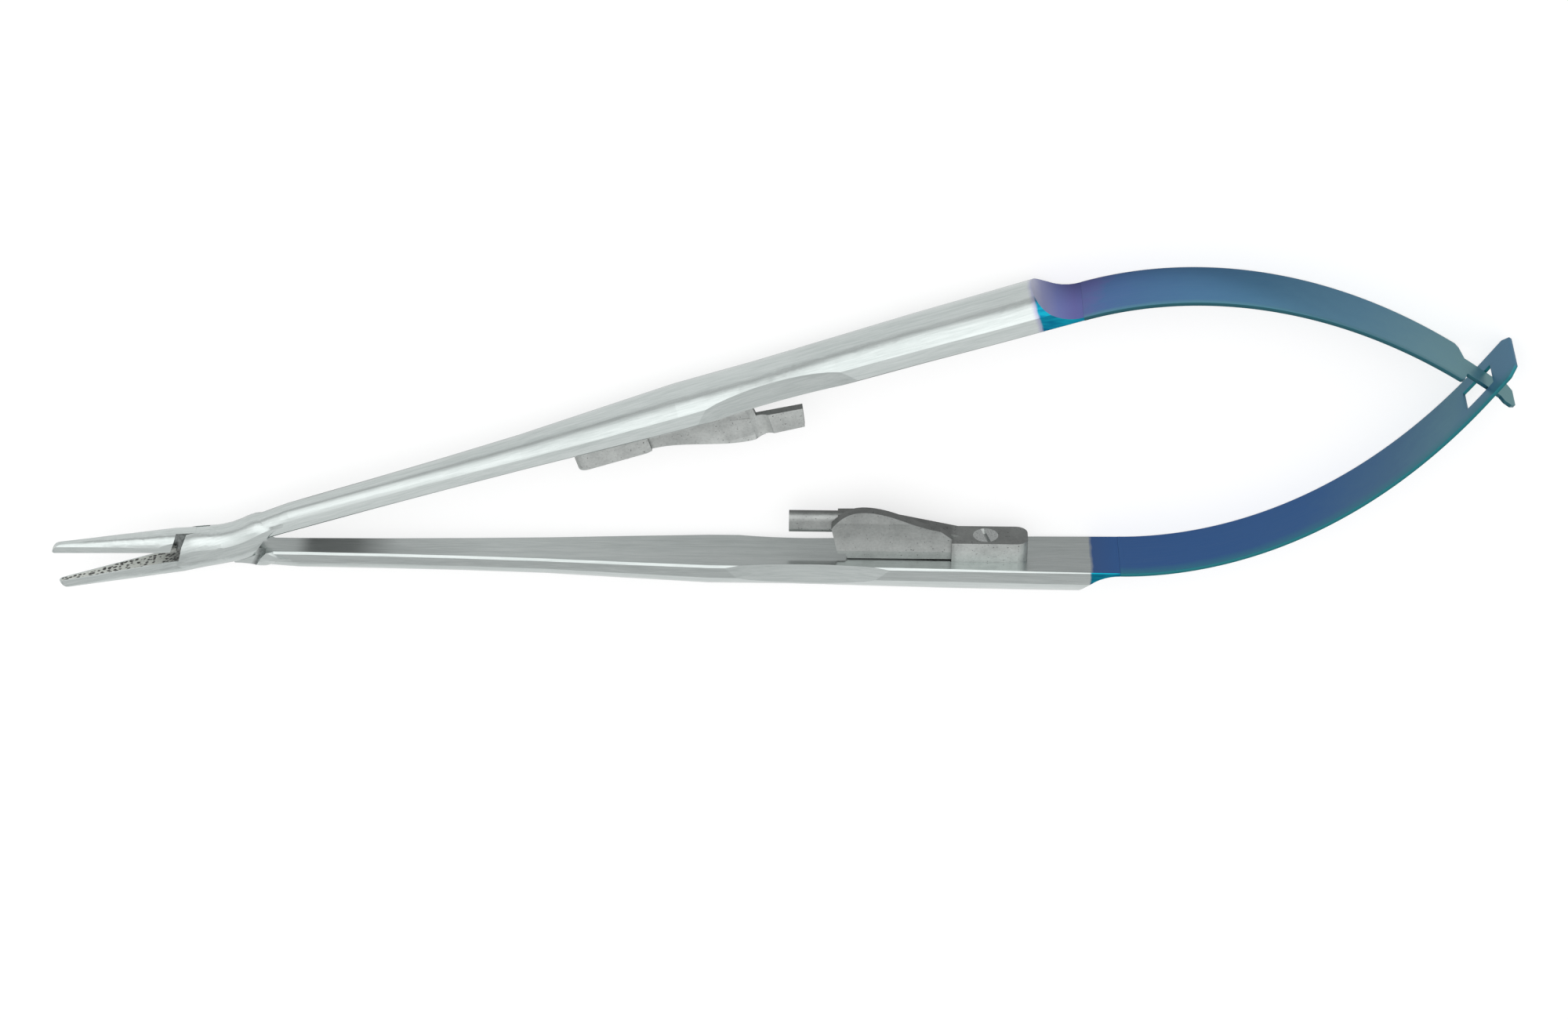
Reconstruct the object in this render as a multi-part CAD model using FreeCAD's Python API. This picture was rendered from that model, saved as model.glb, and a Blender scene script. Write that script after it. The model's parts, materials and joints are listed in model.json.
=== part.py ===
import FreeCAD, Part
import math
import os

# Spring-handled micro needle holder with a box lock and a latch between the handles.
# Millimetres. It lies on its side: +X runs from the jaws to the spring end, +Y is the side of
# the half whose jaw is on -Y, +Z is up, and the lowest edges are at Z = 0. The part is drawn
# open, at rest. Both halves are drawn closed in one shared half frame (pivot at the origin,
# jaw towards -X below Y = 0, handle towards +X above it), then swung open and one is mirrored.

# Travel
open_half_angle = 5.7        # each half, from closed to the open rest
handle_splay = 3.74          # inner handle face against the bite plane

# Jaws
jaw_length = 21.1            # pivot to tip
jaw_root_x = 5.5             # pivot to the back of the biting face
jaw_tip_width = 0.95
jaw_root_width = 3.45
jaw_tip_height = 1.15
jaw_root_height = 2.35
jaw_side_share = 0.25        # flat part of the jaw's side, of its height
jaw_nose_radius = 1.5
bite_gap = 0.03              # each biting face to the bite plane
insert_rim = 0.2
insert_thickness = 0.55

# Box lock
box_width = 4.4
box_height = 4.9
box_side_share = 0.26        # flat part of the box's side, of its height
web_radius = 2.05            # round web about the pin
web_radius_gap = 0.1
web_thickness = 1.5
web_side_gap = 0.06
web_swing_gap = 1.2          # degrees left between web and window at the ends of travel
roof_angle = 18.0            # the window's roof starts this far past straight up
root_flat_width = 3.1        # across the two flats milled on the inner jaw's root
root_flat_length = 4.0
pin_radius = 0.8
pin_running_gap = 0.03

# Shank and handle: widths across Z, heights away from the inner face
shank_start = 9.5
shank_width = 3.7
shank_height = 2.85
shank_root_height = 2.2      # where the shank starts inside the box
shank_side = 1.45
taper_x = 44.0
taper_width = 5.8
taper_height = 3.3
grip_start = 62.0
grip_start_width = 7.62
grip_start_height = 4.05
grip_side = 1.85
waist_height = 3.97
grip_mid = 84.0
grip_mid_width = 7.66
grip_mid_height = 4.33
flare_x = 96.0
flare_width = 8.15
flare_end_x = 105.5
handle_end = 110.4
handle_end_width = 8.6
handle_end_height = 4.45
side_lean = 7.0              # degrees that the flat sides lean in towards the back
edge_bevel = 0.25
bevel_arm_end = 0.08
station_count = 10           # sections that the taper is eased through

# Finger waist, groove and end ramp of the handle
waist_x = 71.8
waist_length = 20.5
waist_depth = 0.8
groove_width = 4.3
groove_depth = 0.25
groove_start = 44.5
groove_end = 105.5
groove_runout = 6.0
ramp_radius = 5.4

# Leaf springs
leaf_thickness = 0.45
leaf_reach = 46.9            # root to crossing, along X at rest
leaf_end_angle = 45.5        # slope of the leaf where the two cross
leaf_root_pull = 9.4
leaf_tip_pull = 27.2
leaf_end_length = 5.1        # slotted leaf's end beyond the crossing
leaf_corner_along = 1.3
leaf_corner_across = 1.0
tongue_width = 3.6
tongue_shoulder = 3.35       # ahead of the crossing
tongue_shoulder_slant = 0.65
tongue_corner = 0.5
tongue_length = 4.2          # beyond the crossing
head_width = 4.9             # head of the tongue, wider than the slot
head_length = 1.7
head_corner = 0.75
slot_clearance = 0.2         # tongue edge to slot edge
slot_front = 3.75
slot_back = 1.2

# Latch feet and their screws, places measured along the inner handle face
foot_width = 4.1
foot_height = 2.65
foot_corner = 1.4
upper_foot_start = 45.5
upper_foot_end = 55.0
lower_foot_start = 89.7
lower_foot_end = 99.1
recess_depth = 0.6           # wing face behind the foot's front
recess_radius = 7.0
wing_hollow_radius = 9.0
wing_hollow_depth = 0.22
upper_wing_reach = 14.7      # beyond its foot
upper_wing_rise = 5.15
upper_nose_reach = 20.1
lower_wing_reach = 14.8
lower_wing_rise = 6.5
lower_nose_reach = 20.0
lower_nose_height = 3.75
lower_nose_width = 2.8
lower_nose_depth = 1.86
latch_side_gap = 0.12        # each latch nose to the mid-plane
screw_head_radius = 1.55
screw_head_depth = 0.75
screw_radius = 0.8
screw_hole_gap = 0.06
screw_grip = 2.0             # thread length in the handle
screw_slot_width = 0.42
screw_slot_depth = 0.5
thread_end_gap = 0.2

# Worked-out values
half_opening = math.radians(open_half_angle)
splay = math.radians(handle_splay)
rest_slope = half_opening + splay
half_widest = handle_end_width / 2
web_half = web_thickness / 2
wing_front = foot_width / 2 - recess_depth
big = 60.0

V = FreeCAD.Vector
axis_x = V(1, 0, 0)
axis_y = V(0, 1, 0)
axis_z = V(0, 0, 1)
zero = V(0, 0, 0)


def prism_z(outline, z_low, z_high):
    """Solid between two heights from a closed outline of (x, y) points."""
    points = [V(x, y, z_low) for x, y in outline]
    face = Part.Face(Part.makePolygon(points + [points[0]]))
    return face.extrude(V(0, 0, z_high - z_low))


def prism_of_edges(edges, direction):
    return Part.Face(Part.Wire(edges)).extrude(direction)


def line(a, b):
    return Part.LineSegment(a, b).toShape()


def arc(a, through, b):
    return Part.Arc(a, through, b).toShape()


def turned(shape, degrees):
    copy = shape.copy()
    copy.rotate(zero, axis_z, degrees)
    return copy


def d_section(x, width, side, height, bevel, outward, lean=0.0):
    """Flat inner face on Y = 0, bevelled edges, flat sides and a barrelled back."""
    w = width / 2
    top_w = w - side * math.tan(math.radians(lean))
    points = [V(x, 0, -w + bevel), V(x, 0, w - bevel), V(x, outward * bevel, w), V(x, outward * side, top_w)]
    back = [V(x, outward * height, 0), V(x, outward * side, -top_w), V(x, outward * bevel, -w)]
    edges = [line(points[0], points[1]), line(points[1], points[2]), line(points[2], points[3])]
    edges += [arc(points[3], back[0], back[1]), line(back[1], back[2]), line(back[2], points[0])]
    return Part.Wire(edges)


def barrel_section(x, low_edge, top_edge, half_width):
    """Flat sides with a rounded top and bottom."""
    centre = (low_edge + top_edge) / 2
    half_height = (top_edge - low_edge) / 2
    side = box_side_share * half_height
    top = [V(x, centre + side, half_width), V(x, centre + half_height, 0), V(x, centre + side, -half_width)]
    low = [V(x, centre - side, -half_width), V(x, centre - half_height, 0), V(x, centre - side, half_width)]
    edges = [arc(*top), line(top[2], low[0]), arc(*low), line(low[2], top[0])]
    return Part.Wire(edges)


def handle_stations():
    """Sections along the shank and handle, eased between the named widths and heights."""
    keys = [
        V(shank_start, shank_width, shank_height),
        V((shank_start + taper_x) / 2, shank_width + 0.33 * (taper_width - shank_width), shank_height + 0.1),
        V(taper_x, taper_width, taper_height),
        V(grip_start, grip_start_width, grip_start_height),
        V(waist_x, (grip_start_width + grip_mid_width) / 2, waist_height),
        V(grip_mid, grip_mid_width, grip_mid_height),
        V(flare_x, flare_width, (grip_mid_height + handle_end_height) / 2),
        V(flare_end_x, handle_end_width - 0.04, handle_end_height),
        V(handle_end, handle_end_width, handle_end_height),
    ]
    curve = Part.BSplineCurve()
    curve.interpolate(keys)
    root_x = shank_start / 4
    middle = V((root_x + shank_start) / 2, shank_width, 0.45 * shank_root_height + 0.55 * shank_height)
    points = [V(root_x, shank_width - 0.4, shank_root_height), middle, keys[0]]
    first, last = curve.FirstParameter, curve.LastParameter
    points += [curve.value(first + (last - first) * i / station_count) for i in range(1, station_count)]
    points.append(keys[-1])
    stations = []
    for point in points:
        share = min(1.0, max(0.0, (point.x - taper_x) / (grip_start - taper_x)))
        side = min(shank_side + share * (grip_side - shank_side), 0.55 * point.z)
        thin = min(1.0, max(0.0, (point.x - grip_mid) / (handle_end - grip_mid)))
        bevel = edge_bevel + thin * (bevel_arm_end - edge_bevel)
        stations.append((point.x, point.y, side, point.z, bevel))
    return stations


def make_handle():
    """Shank and handle as one loft along the inner face, straight from the pivot."""
    handle = Part.makeLoft([d_section(*station, 1, side_lean) for station in handle_stations()], True, True)
    handle = handle.cut(ramp_cutter())
    for side in (1, -1):
        handle = handle.cut(waist_cutter(side))
    return handle.cut(groove_cutter())


def ramp_cutter():
    """Takes the end of the handle down to the leaf's thickness in one concave sweep."""
    centre = V(handle_end, leaf_thickness + ramp_radius, -big)
    left = V(handle_end - ramp_radius, centre.y, -big)
    low = V(handle_end, leaf_thickness, -big)
    mid = centre + V(-ramp_radius * math.cos(math.pi / 4), -ramp_radius * math.sin(math.pi / 4), 0)
    edges = [arc(left, mid, low), line(low, V(handle_end + 1, leaf_thickness, -big))]
    edges += [line(V(handle_end + 1, leaf_thickness, -big), V(handle_end + 1, centre.y, -big))]
    edges += [line(V(handle_end + 1, centre.y, -big), left)]
    return prism_of_edges(edges, V(0, 0, 2 * big))


def waist_cutter(side):
    """Long shallow scallop in one side of the handle, where the fingers close."""
    radius = waist_length ** 2 / (8 * waist_depth) + waist_depth / 2
    edge = (grip_start_width + grip_mid_width) / 4
    centre = V(waist_x, -big, side * (edge - waist_depth + radius))
    return Part.makeCylinder(radius, 2 * big, centre, axis_y)


def groove_cutter():
    """Shallow hollow along the inner face, running out to a point at both ends."""
    half = groove_width / 2
    radius = (half ** 2 + groove_depth ** 2) / (2 * groove_depth)
    lift = radius - groove_depth
    ends = [(groove_start, lift), (groove_start + groove_runout, radius),
            (groove_end - groove_runout, radius), (groove_end, lift)]
    points = [V(groove_start, 0, 0)] + [V(x, r, 0) for x, r in ends] + [V(groove_end, 0, 0)]
    face = Part.Face(Part.makePolygon(points + [points[0]]))
    cutter = face.revolve(zero, axis_x, 360)
    cutter.translate(V(0, -lift, 0))
    return cutter


def jaw_half_width(x):
    share = (x - jaw_root_x) / (jaw_length - jaw_root_x)
    return (jaw_root_width + share * (jaw_tip_width - jaw_root_width)) / 2


def jaw_plan(rim, back_x, y_low, y_high):
    """Jaw outline seen onto the biting face, with a round tip, as a slab along Y."""
    tip = jaw_half_width(jaw_length) - rim
    round_x = jaw_length - rim - tip
    side = jaw_half_width(round_x) - rim
    back = jaw_half_width(back_x) - rim
    a = V(-back_x, y_low, -back)
    b = V(-round_x, y_low, -side)
    c = V(-round_x - tip, y_low, 0)
    d = V(-round_x, y_low, side)
    e = V(-back_x, y_low, back)
    edges = [line(a, b), arc(b, c, d), line(d, e), line(e, a)]
    return prism_of_edges(edges, V(0, y_high - y_low, 0))


def jaw_profile():
    """Jaw outline seen from the side: the back curves down to the tip."""
    r = jaw_nose_radius
    height = jaw_tip_height
    drop = math.acos(max(-1.0, (r - height) / r))
    tip_x = -jaw_length
    centre = V(tip_x + r * math.sin(drop), -height + r, -big)
    start = V(tip_x, 0, -big)
    mid_angle = math.pi + drop / 2 + (math.pi / 2 - drop)
    mid = centre + V(r * math.cos(mid_angle), r * math.sin(mid_angle), 0)
    end = V(centre.x, -height, -big)
    back = V(-2, -jaw_root_height - 0.4, -big)
    edges = [arc(start, mid, end), line(end, back), line(back, V(-2, 0, -big)), line(V(-2, 0, -big), start)]
    return prism_of_edges(edges, V(0, 0, 2 * big))


def make_jaw():
    """Tapered half-round jaw, flat on the biting side, up to the middle of the box."""
    sections = []
    for x, height in ((jaw_length, jaw_tip_height), (jaw_root_x, jaw_root_height), (3.0, jaw_root_height)):
        width = 2 * jaw_half_width(x)
        sections.append(d_section(-x, width, jaw_side_share * height, height, 0.04, -1))
    jaw = Part.makeLoft(sections, True, True)
    jaw = jaw.common(jaw_plan(0, 3.0, -big, big))
    return jaw.common(jaw_profile())


def make_box():
    """Rounded block of the box lock, running from the jaw's back up into the shank."""
    half = box_height / 2
    wide = box_width / 2
    shank_half = shank_width / 2
    stations = [
        (-jaw_root_x - 3.5, -0.72 * half, 0.1 * half, 0.45 * wide),
        (-jaw_root_x - 0.4, -0.86 * half, 0.85 * half, wide - 0.5),
        (-3.9, -0.92 * half, 1.2 * half, wide - 0.1),
        (-1.8, -0.96 * half, 1.16 * half, wide),
        (0.6, -half, 1.0 * half, wide),
        (3.2, -0.95 * half, 1.1 * half, wide - 0.04),
        (5.6, -0.45 * half, 1.2 * half, wide - 0.15),
        (shank_start - 0.4, 0.12 * half, 1.27 * half, shank_half - 0.3),
    ]
    return Part.makeLoft([barrel_section(*station) for station in stations], True, False)


def ahead_of(outline):
    """Everything above the bite plane and ahead of a line through the given points."""
    return prism_z(outline + [(outline[-1][0], big), (-big, big), (-big, outline[0][1])], -big, big)


def behind(outline):
    """Everything below the inner handle face and behind a line through the given points."""
    far = [(outline[-1][0], -big), (big, -big), (big, big * math.tan(splay))]
    return prism_z(outline + far, -big, big)


def inner_face_y(x):
    return x * math.tan(splay)


def joint_block():
    """Jaw, box and handle fused, before the lock is cut."""
    return make_jaw().fuse([make_box(), turned(make_handle(), handle_splay)])


def biting_face_cut():
    return prism_z([(-big, -bite_gap), (-jaw_root_x, -bite_gap), (-jaw_root_x, big), (-big, big)], -big, big)


def sector(start, stop, reach):
    """Flat wedge about the pivot between two directions in degrees."""
    a, b = math.radians(start), math.radians(stop)
    return [(0, 0), (reach * math.cos(a), reach * math.sin(a)), (reach * math.cos(b), reach * math.sin(b))]


def slab(outline, half_thickness):
    return prism_z(outline, -half_thickness, half_thickness)


def make_female_half():
    """Half with the two cheeks: its handle is on +Y and its jaw on -Y."""
    body = joint_block()
    body = body.cut(ahead_of([(-jaw_root_x, 0), (-4.55, 1.8), (-3.4, 3.2)]))
    body = body.cut(behind([(5.6, inner_face_y(5.6)), (4.25, -0.9), (3.15, -2.9)]))
    body = body.cut(biting_face_cut())
    slot = web_half + web_side_gap
    window = Part.makeCylinder(web_radius + web_radius_gap, 2 * slot, V(0, 0, -slot), axis_z)
    front = [(0, -bite_gap)] + sector(90 + roof_angle, 135, big)[1:] + [(-big, -bite_gap)]
    rear = [(0, 0)] + sector(roof_angle - 90, handle_splay, big)[1:]
    body = body.cut([window, slab(front, slot), slab(rear, slot)])
    for side in (1, -1):
        body = body.cut(cheek_facet(side))
    return largest_solid(body.cut(pin_hole(pin_radius)))


def largest_solid(shape):
    """The part itself, without crumbs that the cuts leave behind."""
    return max(shape.Solids, key=lambda solid: solid.Volume)


def cheek_facet(side):
    """Small bevel on the front corner of one cheek."""
    tool = Part.makeBox(6.0, 6.0, 6.0, V(-6.0, -3.0, 0))
    tool.rotate(zero, axis_y, 28)
    tool.rotate(zero, axis_z, -42)
    tool.translate(V(-3.35, 2.15, box_width / 2 - 0.1))
    return tool if side > 0 else tool.mirror(zero, axis_z)


def make_male_half():
    """Half with the thin round web that turns between the cheeks."""
    body = joint_block()
    body = body.cut(biting_face_cut())
    swing = 2 * open_half_angle + web_swing_gap
    web = Part.makeCylinder(web_radius, 2 * big, V(0, 0, -big), axis_z)
    jaw_limit = 270 - roof_angle - swing
    jaw_part = [(0, -bite_gap), (-big, -bite_gap), sector(0, jaw_limit, big)[2]]
    handle_limit = 90 - roof_angle - swing
    handle_part = sector(handle_splay, handle_limit, 3 * big)
    core = web.fuse([slab(jaw_part, big), slab(handle_part, big)])
    body = body.common(core)
    jaw_shoulder = [(-6.35, 0), (-5.65, -1.7), (-5.1, -3.1), (-5.1, -big)]
    handle_shoulder = [(5.45, -big), (5.45, 0.4), (4.75, 1.05), (3.95, 2.5), (3.6, 3.2), (3.6, big)]
    pocket = jaw_shoulder + handle_shoulder + [(-6.35, big)]
    for low, high in ((web_half, big), (-big, -web_half)):
        body = body.cut(prism_z(pocket, low, high))
    flat_x = jaw_shoulder[0][0]
    flats = Part.makeBox(root_flat_length, 2 * big, 2 * big, V(flat_x - root_flat_length + 1.4, -big, -big))
    between = Part.makeBox(root_flat_length, 2 * big, root_flat_width,
                           V(flat_x - root_flat_length + 1.4, -big, -root_flat_width / 2))
    body = body.cut(flats.cut(between))
    return largest_solid(body.cut(pin_hole(pin_radius + pin_running_gap)))


def pin_hole(radius):
    return Part.makeCylinder(radius, 2 * big, V(0, 0, -big), axis_z)


def make_pivot_pin():
    return Part.makeCylinder(pin_radius, box_width, V(0, 0, -box_width / 2), axis_z)


def make_insert():
    """Hard plate let into the jaw's face inside a thin rim."""
    low = -bite_gap - insert_thickness
    return jaw_plan(insert_rim, jaw_root_x, low, -bite_gap)


def along_handle(shape):
    """From the inner-face frame (heights drawn as +Y inward) to the half frame."""
    flipped = shape.mirror(zero, axis_y)
    return turned(flipped, handle_splay)


def wing_slab(contour, z_low, z_high):
    """Flat plate from a contour of lines and smooth runs, in inner-face coordinates."""
    edges = []
    start = contour[0][0]
    for run in contour:
        points = [V(x, y, z_low) for x, y in run]
        if len(points) == 2:
            edges.append(line(points[0], points[1]))
        else:
            curve = Part.BSplineCurve()
            curve.interpolate(points)
            edges.append(curve.toShape())
    last = contour[-1][-1]
    edges.append(line(V(last[0], last[1], z_low), V(start[0], start[1], z_low)))
    return prism_of_edges(edges, V(0, 0, z_high - z_low))


def foot(x_start, x_end, rounded_end):
    """Screw-down foot: rounded at one end, bedded in the groove of the handle."""
    wide = foot_width / 2
    block = Part.makeBox(x_end - x_start, foot_height + groove_depth, foot_width, V(x_start, -groove_depth, -wide))
    x_round = x_end if rounded_end > 0 else x_start
    corners = [e for e in block.Edges if abs(e.BoundBox.XLength) < 1e-6 and abs(e.BoundBox.ZLength) < 1e-6
               and abs(e.BoundBox.Center.x - x_round) < 1e-6]
    block = block.makeFillet(foot_corner, corners)
    above = Part.makeBox(4 * big, big, 4 * big, V(-2 * big, 0, -2 * big))
    bed = groove_cutter().mirror(zero, axis_y)
    return block.common(above).fuse(block.common(bed))


def recess_cutter(x_tangent, toward, front):
    """Plan-view run-out of the milled wing face, up to the foot's front."""
    centre = V(x_tangent, -1.0, wing_front + recess_radius)
    tool = Part.makeCylinder(recess_radius, big, centre, axis_y)
    box = Part.makeBox(big, big, recess_depth + 0.01, V(min(x_tangent, x_tangent - toward * big), -1.0, wing_front))
    return tool.common(Part.makeBox(big, big, front, V(x_tangent - big / 2, -1.0, wing_front))).fuse(box)


def hollow_cutter(height):
    """Long shallow hollow in the wing's near face."""
    centre = V(0, height, wing_front + wing_hollow_radius - wing_hollow_depth)
    return Part.makeCylinder(wing_hollow_radius, 2 * big, centre, axis_x)


def screw_bore(x):
    """Clearance hole and countersink for one screw, through a foot."""
    radius = screw_radius + screw_hole_gap
    hole = Part.makeCylinder(radius, 2 * big, V(x, -big, 0), axis_y)
    cone = Part.makeCone(screw_radius, screw_head_radius, screw_head_depth,
                         V(x, foot_height - screw_head_depth, 0), axis_y)
    rim = Part.makeCylinder(screw_head_radius, big, V(x, foot_height, 0), axis_y)
    return hole.fuse([cone, rim])


def make_screw(x):
    """Countersunk slotted screw, head flush with the foot."""
    low = -screw_grip
    cone_low = foot_height - screw_head_depth
    outline = [V(0, low, 0), V(screw_radius, low, 0), V(screw_radius, cone_low, 0),
               V(screw_head_radius, foot_height, 0), V(0, foot_height, 0)]
    screw = Part.Face(Part.makePolygon(outline + [outline[0]])).revolve(zero, axis_y, 360)
    slot = Part.makeBox(screw_slot_width, screw_slot_depth, 4 * screw_head_radius,
                        V(-screw_slot_width / 2, foot_height - screw_slot_depth, -2 * screw_head_radius))
    screw = screw.cut(slot)
    screw.rotate(zero, axis_y, 14)
    screw.translate(V(x, 0, 0))
    return screw


def thread_hole(x):
    hole = Part.makeCylinder(screw_radius, screw_grip + thread_end_gap + 1.0,
                             V(x, -screw_grip - thread_end_gap, 0), axis_y)
    return along_handle(hole)


def make_upper_latch():
    """Latch on the +Y handle: foot, rising wing and a block nose on the near side."""
    base = foot(upper_foot_start, upper_foot_end, -1)
    s = upper_foot_end - 1.0
    reach = upper_wing_reach
    rise = upper_wing_rise
    shoulder = [(s + 0.05 * reach, foot_height), (s + 0.18 * reach, foot_height + 0.2),
                (s + 0.37 * reach, 0.68 * rise), (s + 0.63 * reach, 0.89 * rise), (s + reach, rise)]
    wing = wing_slab([
        [(s - 1, 0), (s - 1, foot_height)],
        [(s - 1, foot_height), shoulder[0]],
        shoulder,
        [shoulder[-1], (s + 0.97 * reach, 0.23 * rise)],
        [(s + 0.97 * reach, 0.23 * rise), (s + 0.925 * reach, 0.0)],
    ], latch_side_gap, wing_front)
    tip = s + upper_nose_reach
    corners = [(s + 10, 0.31 * rise), (s + 13.5, 0.43 * rise), (tip, 0.56 * rise),
               (tip - 0.5, rise + 0.25), (s + 13.0, 0.96 * rise), (s + 10, 0.85 * rise)]
    nose = prism_z(corners, latch_side_gap, wing_front - 0.12)
    groove = Part.makeCylinder(1.6, big, V(s + reach, -1, wing_front + 1.02), axis_y)
    block = Part.makeBox(upper_foot_end + 1.2 - s, foot_height, foot_width / 2 + latch_side_gap,
                         V(s, 0, -foot_width / 2))
    wing = wing.cut(hollow_cutter(3.2)).fuse(nose).cut(groove)
    body = base.fuse([wing, block])
    x_tangent = upper_foot_end + 2.2
    body = body.cut(recess_cutter(x_tangent, -1, recess_depth + 0.01))
    return body.cut(screw_bore(upper_screw_x))


def make_lower_latch():
    """Latch on the -Y handle: foot, tall wing and a round nose on the far side."""
    base = foot(lower_foot_start, lower_foot_end, 1)
    s = lower_foot_start
    reach = lower_wing_reach
    rise = lower_wing_rise
    crest = [(s - reach, 0.615 * rise), (s - 0.93 * reach, 0.83 * rise), (s - 0.83 * reach, 0.97 * rise),
             (s - 0.68 * reach, rise), (s - 0.42 * reach, 0.84 * rise), (s - 0.095 * reach, 0.59 * rise)]
    wing = wing_slab([
        [(s - 0.865 * reach, 0), (s - 0.88 * reach, 0.09 * rise)],
        [(s - 0.88 * reach, 0.09 * rise), (s - 0.946 * reach, 0.1 * rise)],
        [(s - 0.946 * reach, 0.1 * rise), crest[0]],
        crest,
        [crest[-1], (s + 0.1, foot_height)],
        [(s + 0.1, foot_height), (s + 1.0, foot_height)],
        [(s + 1.0, foot_height), (s + 1.0, 0)],
    ], latch_side_gap, wing_front)
    back_corners = [(s - 0.946 * reach, 0.38 * rise), (s - 0.946 * reach, 0.77 * rise),
                    (s - 0.69 * reach, 0.78 * rise), (s + 1.0, foot_height), (s + 1.0, 0), (s - 3.0, 0)]
    back = prism_z(back_corners, -foot_width / 2 + 0.05, latch_side_gap + 0.2)
    body = base.fuse([wing.cut(hollow_cutter(3.0)), back, lower_nose(s - lower_nose_reach)])
    body = body.cut(recess_cutter(s - 2.8, 1, recess_depth + 0.01))
    return body.cut(screw_bore(lower_screw_x))


def lower_nose(tip_x):
    """Finger with a rounded section, from its tip into the wing."""
    r = lower_nose_depth / 2
    y = (lower_nose_width - lower_nose_depth) / 2
    edges = [line(V(0, -y, -r), V(0, y, -r)), arc(V(0, y, -r), V(0, y + r, 0), V(0, y, r))]
    edges += [line(V(0, y, r), V(0, -y, r)), arc(V(0, -y, r), V(0, -y - r, 0), V(0, -y, -r))]
    nose = prism_of_edges(edges, V(9.0, 0, 0))
    nose.translate(V(tip_x, lower_nose_height, -latch_side_gap - r))
    return nose


def rest_root(t):
    """Leaf root on the handle's end face, t outward from the inner face, at rest."""
    along = V(math.cos(rest_slope), math.sin(rest_slope), 0)
    out = V(-math.sin(rest_slope), math.cos(rest_slope), 0)
    return along * handle_end + out * t


def leaf_centre_line():
    """Bezier from the handle's end to the crossing on the X axis."""
    start = rest_root(leaf_thickness / 2)
    cross = V(start.x + leaf_reach, 0, 0)
    leave = V(math.cos(rest_slope), math.sin(rest_slope), 0)
    arrive = V(math.cos(leaf_end), -math.sin(leaf_end), 0)
    curve = Part.BezierCurve()
    curve.setPoles([start, start + leave * leaf_root_pull, cross - arrive * leaf_tip_pull, cross])
    return curve


def leaf_side(curve, offset):
    """Smooth line parallel to the leaf's centre line."""
    count = 13
    points = []
    for i in range(count):
        t = i / (count - 1)
        tangent = curve.tangent(t)[0]
        normal = V(-tangent.y, tangent.x, 0)
        points.append(curve.value(t) + normal * offset)
    side = Part.BSplineCurve()
    side.interpolate(Points=points, InitialTangent=curve.tangent(0)[0] * 40, FinalTangent=curve.tangent(1)[0] * 40)
    return side, points


def make_leaf_blank():
    """Bent strip of full width, drawn open at rest for the +Y side."""
    curve = leaf_centre_line()
    half = leaf_thickness / 2
    outer, outer_points = leaf_side(curve, half)
    inner, inner_points = leaf_side(curve, -half)
    arrive = V(math.cos(leaf_end), -math.sin(leaf_end), 0)
    outer_tip = outer_points[-1] + arrive * leaf_end_length
    inner_tip = inner_points[-1] + arrive * leaf_end_length
    down = V(0, 0, -half_widest)
    edges = [outer.toShape(), line(outer_points[-1], outer_tip), line(outer_tip, inner_tip)]
    edges += [line(inner_tip, inner_points[-1]), inner.toShape(), line(inner_points[0], outer_points[0])]
    edges = [edge.translated(down) for edge in edges]
    return prism_of_edges(Part.Wire(Part.sortEdges(edges)[0]).Edges, V(0, 0, handle_end_width))


def end_plate(outline):
    """Prism across the leaf's end from an outline of (along, across) corners."""
    points = [V(s, -big, z) for s, z in outline]
    return Part.Face(Part.makePolygon(points + [points[0]])).extrude(V(0, 2 * big, 0))


def at_crossing(shape):
    """From the leaf's end frame to the rest frame of the +Y side."""
    placed = shape.copy()
    placed.rotate(zero, axis_z, -leaf_end_angle)
    placed.translate(V(rest_root(leaf_thickness / 2).x + leaf_reach, 0, 0))
    return placed


def make_tongue_leaf():
    """Leaf whose narrow end passes through the other leaf's slot, with a wider head beyond it."""
    neck = tongue_width / 2
    head = head_width / 2
    start = -tongue_shoulder - tongue_shoulder_slant
    head_start = tongue_length - head_length
    half = [
        (-big, half_widest), (start - tongue_corner, half_widest), (start, half_widest - tongue_corner),
        (-tongue_shoulder, neck), (head_start - (head - neck), neck), (head_start, head),
        (tongue_length - head_corner, head), (tongue_length, head - head_corner),
    ]
    keep = end_plate(half + [(s, -z) for s, z in reversed(half)])
    return make_leaf_blank().common(at_crossing(keep))


def make_slotted_leaf():
    """Leaf with the long slot, full width to its end, corners taken off."""
    half_slot = tongue_width / 2 + slot_clearance
    tip = leaf_end_length
    half = [(-big, half_widest), (tip - leaf_corner_along, half_widest), (tip, half_widest - leaf_corner_across)]
    keep = end_plate(half + [(s, -z) for s, z in reversed(half)])
    slot = end_plate([(-slot_front, -half_slot), (slot_back, -half_slot), (slot_back, half_slot),
                      (-slot_front, half_slot)])
    return make_leaf_blank().common(at_crossing(keep.cut(slot)))


def pocket_for_insert(half):
    return half.cut(make_insert())


leaf_end = math.radians(leaf_end_angle)
upper_screw_x = (upper_foot_start + upper_foot_end) / 2 - 0.3
lower_screw_x = lower_foot_start + 4.2

female = pocket_for_insert(make_female_half()).cut(thread_hole(upper_screw_x))
male = pocket_for_insert(make_male_half()).cut(thread_hole(lower_screw_x))

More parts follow.
